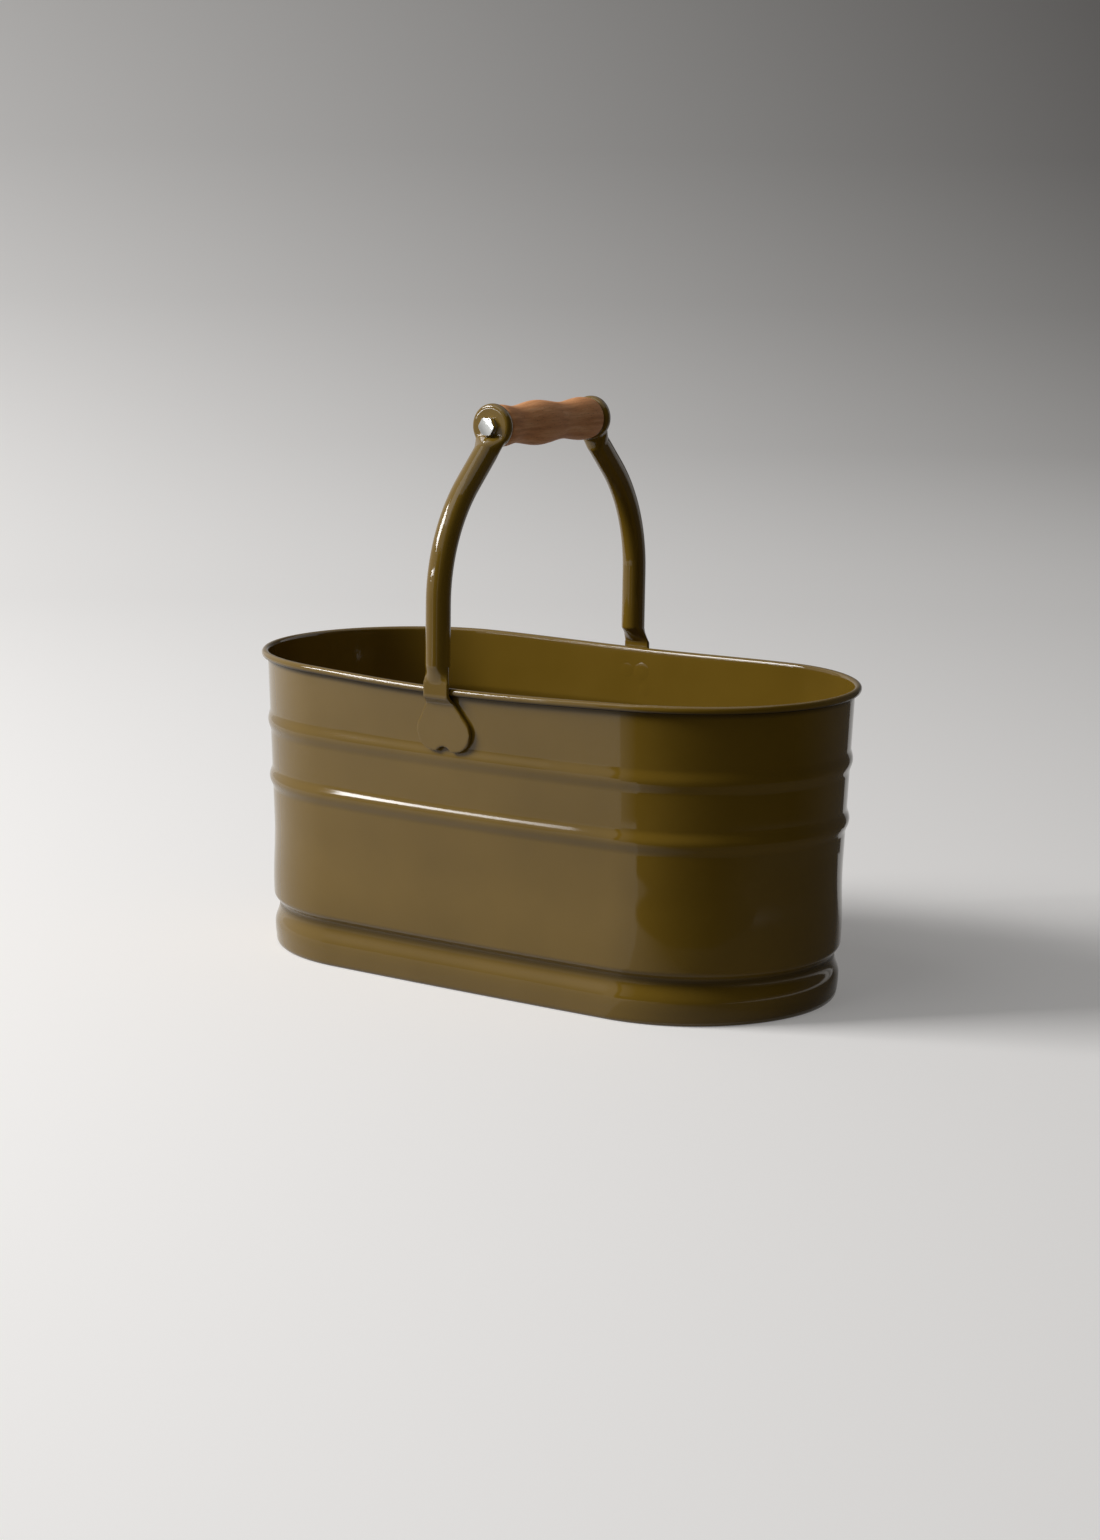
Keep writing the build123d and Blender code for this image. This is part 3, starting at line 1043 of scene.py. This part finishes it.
@dataclass
class Handle:
    """The turned grip on its bolt, with the lock nut and its ring. Lengths are in millimetres.

    The profile's places are shares of half the grip's length.
    """

    finishes: Finishes
    place: float = GRIP_PLACE
    height: float = GRIP_HEIGHT
    half: float = 49.12
    bore: float = 3.08
    tip_round: float = 2.0
    tip_steps: int = 8
    profile: Pairs = (
        (-1.0, 12.3),
        (-0.937, 12.5),
        (-0.713, 11.2),
        (-0.183, 13.5),
        (0.417, 11.2),
        (0.855, 13.1),
        (1.0, 12.3),
    )
    rings: int = 120
    sides: int = 96
    bolt_edge: float = 0.22
    nut_edge: float = 0.18
    lock_ring_edge: float = 0.12
    thread_pitch: float = 1.0
    thread_radius: float = 2.86
    thread_ridge: float = 0.26
    thread_start: float = 0.3
    thread_slack: float = 1.0
    thread_steps: int = 40
    ridge_sides: int = 4

    def radius_at(self, places: np.ndarray) -> np.ndarray:
        """Run a smooth curve, a natural cubic spline, through the grip's profile points.

        Args:
            places: Places along the grip in millimetres.

        Returns:
            The grip's radius there.
        """
        knots = np.array([share * self.half for share, _ in self.profile])
        radii = np.array([radius for _, radius in self.profile])
        gaps = np.diff(knots)
        count = len(knots)
        system, right = np.eye(count), np.zeros(count)
        for i in range(1, count - 1):
            system[i, i - 1 : i + 2] = (gaps[i - 1], 2 * (gaps[i - 1] + gaps[i]), gaps[i])
            right[i] = 6 * ((radii[i + 1] - radii[i]) / gaps[i] - (radii[i] - radii[i - 1]) / gaps[i - 1])
        bend = np.linalg.solve(system, right)
        i = np.clip(np.searchsorted(knots, places) - 1, 0, count - 2)
        before, after, gap = knots[i + 1] - places, places - knots[i], gaps[i]
        curve = (bend[i] * before**3 + bend[i + 1] * after**3) / (6 * gap)
        curve += (radii[i] / gap - bend[i] * gap / 6) * before
        return curve + (radii[i + 1] / gap - bend[i + 1] * gap / 6) * after

    def tip(self, end: int) -> list[tuple[float, float]]:
        """Round one tip of the grip.

        Args:
            end: -1 for the tip at the bolt's head and 1 for the other.

        Returns:
            Place and radius of each point, from the grip's side to its face.
        """
        inner = end * (self.half - self.tip_round)
        radius = float(self.radius_at(np.array([inner]))[0])
        turns = np.linspace(0, math.pi / 2, self.tip_steps)[1:]
        return [
            (inner + end * self.tip_round * math.sin(t), radius - self.tip_round * (1 - math.cos(t)))
            for t in turns
        ]

    def grip(self) -> None:
        """Turn the grip round its bore."""
        inner = self.half - self.tip_round
        places = np.linspace(-inner, inner, self.rings)
        side = list(zip(places, self.radius_at(places)))
        bore = [(self.half, self.bore), (0.0, self.bore), (-self.half, self.bore)]
        turn = np.arange(self.sides) * 2 * math.pi / self.sides
        rows = []
        for y, radius in self.tip(-1)[::-1] + side + self.tip(1) + bore:
            x, z = self.place + radius * np.cos(turn), self.height + radius * np.sin(turn)
            rows.append(np.column_stack([x, np.full(self.sides, y), z]))
        grip = link_mesh("turned_grip", ring_mesh(rows, "turned_grip"), self.finishes.beech)
        settle(grip, Body.GRIP, Slot.BEECH, "grip")

    def thread(self) -> None:
        """Wind the thread that shows past the nut."""
        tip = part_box("grip_bolt")[1].y / MM
        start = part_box("grip_nut")[1].y / MM
        length = tip - start - self.thread_slack
        values = {
            "Turns": length / self.thread_pitch,
            "Thread Radius": self.thread_radius * MM,
            "Length": length * MM,
            "Ridge": self.thread_ridge * MM,
        }
        tree, given = new_geometry_tree("thread past the nut", values)
        radius = given.outputs["Thread Radius"]
        inputs = {
            "Resolution": self.thread_steps,
            "Rotations": given.outputs["Turns"],
            "Start Radius": radius,
            "End Radius": radius,
            "Height": given.outputs["Length"],
        }
        helix = add_node(tree, "GeometryNodeCurveSpiral", inputs)
        sizes = {"Resolution": self.ridge_sides, "Radius": given.outputs["Ridge"]}
        ridge = add_node(tree, "GeometryNodeCurvePrimitiveCircle", sizes)
        end_geometry_tree(tree, swept(tree, helix.outputs["Curve"], ridge), self.finishes.zinc)
        made = bake_tree(link_object("thread place", bpy.data.meshes.new("thread place")), tree, values)
        made.transform(Matrix.Rotation(-math.pi / 2, 4, "X"))
        made.transform(Matrix.Translation(Vector((self.place, start + self.thread_start, self.height)) * MM))
        settle(link_mesh("bolt_thread", made, self.finishes.zinc), Body.TUB, Slot.ZINC)

    def build(self) -> None:
        """Build the grip and its hardware."""
        self.grip()
        zinc, nylon = self.finishes.zinc, self.finishes.nylon
        hardware = (
            ("grip_bolt", "hexagon_bolt", self.bolt_edge, zinc, Slot.ZINC),
            ("grip_nut", "lock_nut", self.nut_edge, zinc, Slot.ZINC),
            ("nut_lock_ring", "nylon_lock_ring", self.lock_ring_edge, nylon, Slot.NYLON),
        )
        for node, name, edge, finish, slot in hardware:
            settle(dressed_copy(node, name, edge, finish), Body.TUB, slot, node)
        self.thread()


def direction(azimuth: float, elevation: float) -> Vector:
    """Point from the tub by an azimuth, 0 in front and 90 at its right end, and an elevation."""
    a, e = math.radians(azimuth), math.radians(elevation)
    return Vector((math.sin(a) * math.cos(e), -math.cos(a) * math.cos(e), math.sin(e)))


@dataclass(frozen=True)
class GlossCard:
    """A bent card that only the gloss sees, a painted reflection: it glows in one colour that turns to
    another.

    It follows a level arc round a place on X, and stands on it or lies flat. Lengths are in metres
    and angles in degrees, 0 in front and 90 at the tub's right end. Turn is an axis and the places
    on it where the first colour begins to turn and where the second is reached. Sweep is the arc's
    first angle, its end and its step. An edge is heights by angle, and one pair makes it level.
    """

    name: str
    colours: tuple[str, str]
    turn: tuple[str, float, float]
    sweep: Triple
    foot: Pairs
    top: Pairs
    foot_reach: float = 1.0
    top_reach: float = 1.0
    centre: float = 0.0
    strength: float = 1.0

    def material(self) -> Material:
        """Build the card's node material.

        Returns:
            The finished material.
        """
        material, tree, place = shader_tree(self.name)
        axis, start, end = self.turn
        along = add_node(tree, "ShaderNodeSeparateXYZ", {"Vector": place}).outputs[axis]
        colour = ramp(tree, spread(tree, along, 0.0, 1.0, start, end), (0.0, 1.0), self.colours)
        return surfaced(material, "ShaderNodeEmission", {"Color": colour, "Strength": self.strength})

    def edge(self, heights: Pairs, reach: float) -> list[Triple]:
        """Lay one of the card's edges.

        Args:
            heights: Its heights by angle.
            reach: How far it lies from the arc's middle.

        Returns:
            Its points.
        """
        degrees = np.arange(*self.sweep)
        steps = zip(np.radians(degrees), np.interp(degrees, *zip(*heights)))
        return [(self.centre + reach * math.sin(t), -reach * math.cos(t), up) for t, up in steps]

    def stand(self) -> None:
        """Put the card on the stage, hidden from the camera and from the light."""
        pairs = zip(self.edge(self.foot, self.foot_reach), self.edge(self.top, self.top_reach))
        corners = [corner for pair in pairs for corner in pair]
        faces = [(i, i + 2, i + 3, i + 1) for i in range(0, len(corners) - 2, 2)]
        card = link_mesh(self.name, raw_mesh(self.name, corners, faces=faces), self.material())
        card.visible_camera = False
        card.visible_diffuse = False
        card.visible_shadow = False


@dataclass(frozen=True)
class Lamp:
    """A soft rectangular lamp that looks at the tub: lengths in metres and power in watts."""

    name: str
    azimuth: float
    elevation: float
    distance: float
    size: tuple[float, float]
    power: float
    look_height: float = 0.12

    def hang(self) -> None:
        """Put the lamp in the scene."""
        away = direction(self.azimuth, self.elevation)
        data = bpy.data.lights.new(self.name, "AREA")
        data.shape = "RECTANGLE"
        data.size, data.size_y = self.size
        data.energy = self.power
        lamp = link_object(self.name, data)
        lamp.location = Vector((0.0, 0.0, self.look_height)) + away * self.distance
        lamp.rotation_euler = away.to_track_quat("Z", "Y").to_euler()
        lamp.visible_camera = False


@dataclass
class Studio:
    """Seamless paper, a soft window from the left, a weak ceiling, dim fill and the camera.

    The camera's values are measured from the photograph. The cards are painted reflections that stand
    for what its paint mirrors. Lengths are in metres and angles in degrees.
    """

    azimuth: float = 33.98
    elevation: float = 10.73
    distance: float = 1.83365
    target: Triple = (-0.00105, 0.0, 0.12144)
    roll: float = 0.86
    focal_pixels: float = 2976.58
    image_height: float = 1540.0
    sensor: float = 36.0
    sweep_radius: float = 2.0
    sweep_steps: int = 25
    sweep_top: float = 3.2
    floor_front: float = 2.2
    floor_back: float = 1.7
    left_span: float = 1.3
    right_span: float = 2.4
    clip_start: float = 0.05
    clip_end: float = 60.0
    card_top: Pairs = ((0.0, 0.7),)
    ground: Pairs = ((0.0, 0.0),)
    right_centre: float = 0.101
    right_reach: float = 0.295
    right_sweep: Triple = (0.0, 166.0, 5.0)
    right_low: Pairs = ((0.0, 0.06),)
    right_feet: Pairs = ((-5.0, 0.03), (25.0, 0.0), (45.0, 0.0), (80.0, 0.03))
    mat_inner: float = 0.092
    mat_outer: float = 0.42
    mat_height: Pairs = ((0.0, 0.001),)
    edge_sweep: Triple = (-10.0, 1.0, 2.5)
    front_sweep: Triple = (-13.0, 31.0, 4.0)
    window_sweep: Triple = (-47.0, -20.0, 2.0)
    window_feet: Pairs = ((-47.0, 0.33), (-39.5, 0.36), (-33.6, 0.382), (-27.5, 0.404), (-21.0, 0.425))
    window_strip: float = 0.06
    window_glow: float = 24.0
    lamps: tuple[Lamp, ...] = (
        Lamp("window", -51.0, 33.5, 4.5, (1.8, 1.6), 198.0),
        Lamp("ceiling", -20.0, 60.0, 2.0, (1.2, 1.2), 6.0),
    )
    fill_strength: float = 0.085
    fill_shade: str = "#F2F4F6"
    seen_shade: str = "#DAD8D6"

    def across(self) -> tuple[float, float]:
        """The level direction from the picture's left to its right."""
        return math.cos(math.radians(self.azimuth)), math.sin(math.radians(self.azimuth))

    def camera(self) -> None:
        """Stand the camera where the photograph was taken, rolled as it is."""
        back = direction(self.azimuth, self.elevation)
        level = Vector((*self.across(), 0.0))
        up = back.cross(level)
        roll = math.radians(self.roll)
        right = level * math.cos(roll) + up * math.sin(roll)
        rolled_up = up * math.cos(roll) - level * math.sin(roll)
        data = bpy.data.cameras.new("photograph view")
        data.sensor_width = self.sensor
        data.sensor_fit = "AUTO"
        data.lens = self.focal_pixels / self.image_height * self.sensor
        data.clip_start = self.clip_start
        data.clip_end = self.clip_end
        camera = link_object("photograph view", data)
        turn = Matrix((right, rolled_up, back)).transposed().to_4x4()
        camera.matrix_world = Matrix.Translation(Vector(self.target) + back * self.distance) @ turn
        bpy.context.scene.camera = camera

    def paper(self, paper: Material) -> None:
        """Roll the paper out over the floor and up behind the object.

        Args:
            paper: Its finish.
        """
        right = np.array(self.across())
        away = np.array([-right[1], right[0]])
        line = [(-self.floor_front, 0.0), (0.0, 0.0)]
        for turn in np.linspace(0, math.pi / 2, self.sweep_steps):
            far = self.floor_back + self.sweep_radius * math.sin(turn)
            line.append((far, self.sweep_radius * (1 - math.cos(turn))))
        line.append((self.floor_back + self.sweep_radius, self.sweep_top))
        sides = (-self.left_span, self.right_span)
        vertices = [(*(away * far + right * side), up) for far, up in line for side in sides]
        faces = [(2 * i, 2 * i + 1, 2 * i + 3, 2 * i + 2) for i in range(len(line) - 1)]
        mesh = raw_mesh("studio_paper", vertices, faces=faces)
        smooth_faces(mesh)
        link_mesh("studio_paper", mesh, paper)

    def cards(self) -> tuple[GlossCard, ...]:
        """Cut the painted reflections: dark cards round the tub's right end and in front, and the glowing
        window's foot and sill.

        Returns:
            The cards: six that stand and the mat, which lies.
        """
        black, grey, white = "#000000", "#4A4846", "#FFFFFF"
        edge, side, front, window = self.edge_sweep, self.right_sweep, self.front_sweep, self.window_sweep
        ground, low, high, flat = self.ground, self.right_low, self.card_top, self.mat_height
        feet, low_feet, glow = self.window_feet, self.right_feet, {"strength": self.window_glow}
        strip = tuple((angle, foot + self.window_strip) for angle, foot in feet)
        reach, centre = self.right_reach, self.right_centre
        right = {"foot_reach": reach, "top_reach": reach, "centre": centre}
        mat = {"foot_reach": self.mat_outer, "top_reach": self.mat_inner, "centre": centre}
        # Painted reflections that only the gloss sees: black and grey cards for dark reflections, the
        # window's foot a bright highlight strip on the ribs and its sill a pale reflection.
        return (
            GlossCard("right_card_edge", ("#B0AEAC", black), ("X", 0.055, 0.1), edge, low, high, **right),
            GlossCard("right_dark_card", (black, grey), ("Y", 0.05, 0.2), side, low, high, **right),
            GlossCard("right_card_foot", (black, grey), ("Y", -0.2, -0.05), side, low_feet, low, **right),
            GlossCard("right_dark_mat", ("#B8B6B4", "#464442"), ("X", 0.1, 0.2), side, flat, flat, **mat),
            GlossCard("front_dark_card", (black, black), ("X", 0.0, 1.0), front, ground, high),
            GlossCard("window_foot", (white, "#8C8C8C"), ("X", -0.68, -0.38), window, feet, strip, **glow),
            GlossCard("window_sill", ("#B4B2B0", "#F2F0EE"), ("Z", 0.1, 0.36), window, ground, feet),
        )

    def world(self) -> None:
        """Fill the room with dim light, seen as a pale backdrop."""
        world = bpy.data.worlds.new("studio")
        bpy.context.scene.world = world
        world.use_nodes = True
        tree = world.node_tree
        tree.nodes.clear()
        shades = ((self.fill_shade, self.fill_strength), (self.seen_shade, 1.0))
        light, seen = (
            add_node(tree, "ShaderNodeBackground", {"Color": linear(shade), "Strength": strength})
            for shade, strength in shades
        )
        both = {0: seen_ray(tree), 1: light.outputs[0], 2: seen.outputs[0]}
        mix = add_node(tree, "ShaderNodeMixShader", both)
        add_node(tree, "ShaderNodeOutputWorld", {"Surface": mix.outputs[0]})

    def build(self, paper: Material) -> None:
        """Set up the whole studio.

        Args:
            paper: The paper's finish.
        """
        self.camera()
        self.paper(paper)
        for card in self.cards():
            card.stand()
        for lamp in self.lamps:
            lamp.hang()
        self.world()
        bpy.context.scene.view_settings.view_transform = "Standard"


def main() -> None:
    """Build the basket and its studio."""
    logging.basicConfig(level=logging.INFO, format="%(name)s: %(message)s")
    studio = Studio()
    finishes = Finishes(
        paint=EnamelledSteel().material(),
        wire=DrawnWire().material(),
        beech=TurnedBeech().material(Vector((GRIP_PLACE, 0.0, GRIP_HEIGHT)) * MM),
        zinc=BrightZinc().material(),
        nylon=NaturalNylon().material(),
        paper=StudioPaper().material(studio.across()),
    )
    Tub(finishes).build()
    Arms(finishes).build()
    Handle(finishes).build()
    studio.build(finishes.paper)


if __name__ == "__main__":
    main()
